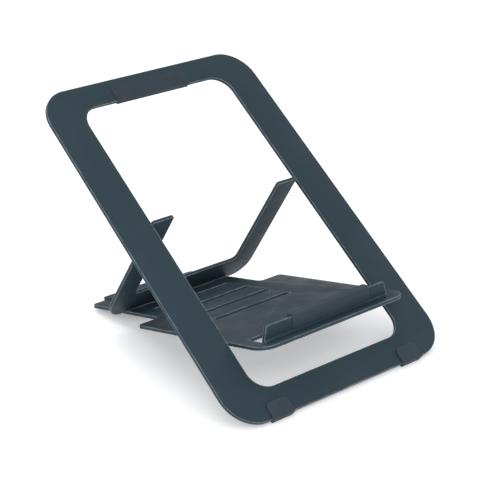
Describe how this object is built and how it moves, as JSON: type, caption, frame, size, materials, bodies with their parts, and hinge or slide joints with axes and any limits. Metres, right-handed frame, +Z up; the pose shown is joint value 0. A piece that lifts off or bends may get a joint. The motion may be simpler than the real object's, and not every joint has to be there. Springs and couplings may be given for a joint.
{
  "type": "laptop stand",
  "caption": "Folding sheet-metal laptop stand: a leaning open frame with a slotted tray, upturned lip and swing-down U-shaped leg, fitted with slip-on rubber pads and feet.",
  "frame": {"origin": "on the desk, under the middle of the object", "axes": "+Z up; +Y from the lower front edge towards the rear; +X to the right of someone facing the front"},
  "size_m": [0.2088, 0.2256, 0.1758],
  "materials": {
    "painted_steel": "fine matt powder coat, dark blue-grey",
    "rubber": "smooth matt moulded silicone rubber, dark blue-grey",
    "pin_steel": "plain turned steel"
  },
  "bodies": {
    "frame": {"frame": "painted_steel", "top_pad": "rubber", "front_foot_left": "rubber", "front_foot_right": "rubber", "leg_pin_left": "pin_steel", "leg_pin_right": "pin_steel", "tray_pin_left": "pin_steel", "tray_pin_right": "pin_steel"},
    "leg": {"leg": "painted_steel"},
    "tray": {"tray": "painted_steel", "lip_sleeve": "rubber", "rear_pad": "rubber"}
  },
  "joints": [
    {"name": "leg_fold", "type": "hinge", "parent": "frame", "child": "leg", "pos_m": [0, 0.01783, 0.10193], "axis": [1, 0, 0], "range_deg": [0, 95.5]},
    {"name": "tray_fold", "type": "hinge", "parent": "frame", "child": "tray", "pos_m": [0, -0.06187, 0.04022], "axis": [1, 0, 0], "range_deg": [0, 45.84]}
  ],
  "couplings": [
    {"joint": "tray_fold", "follows": "leg_fold", "ratio": 0.48}
  ]
}
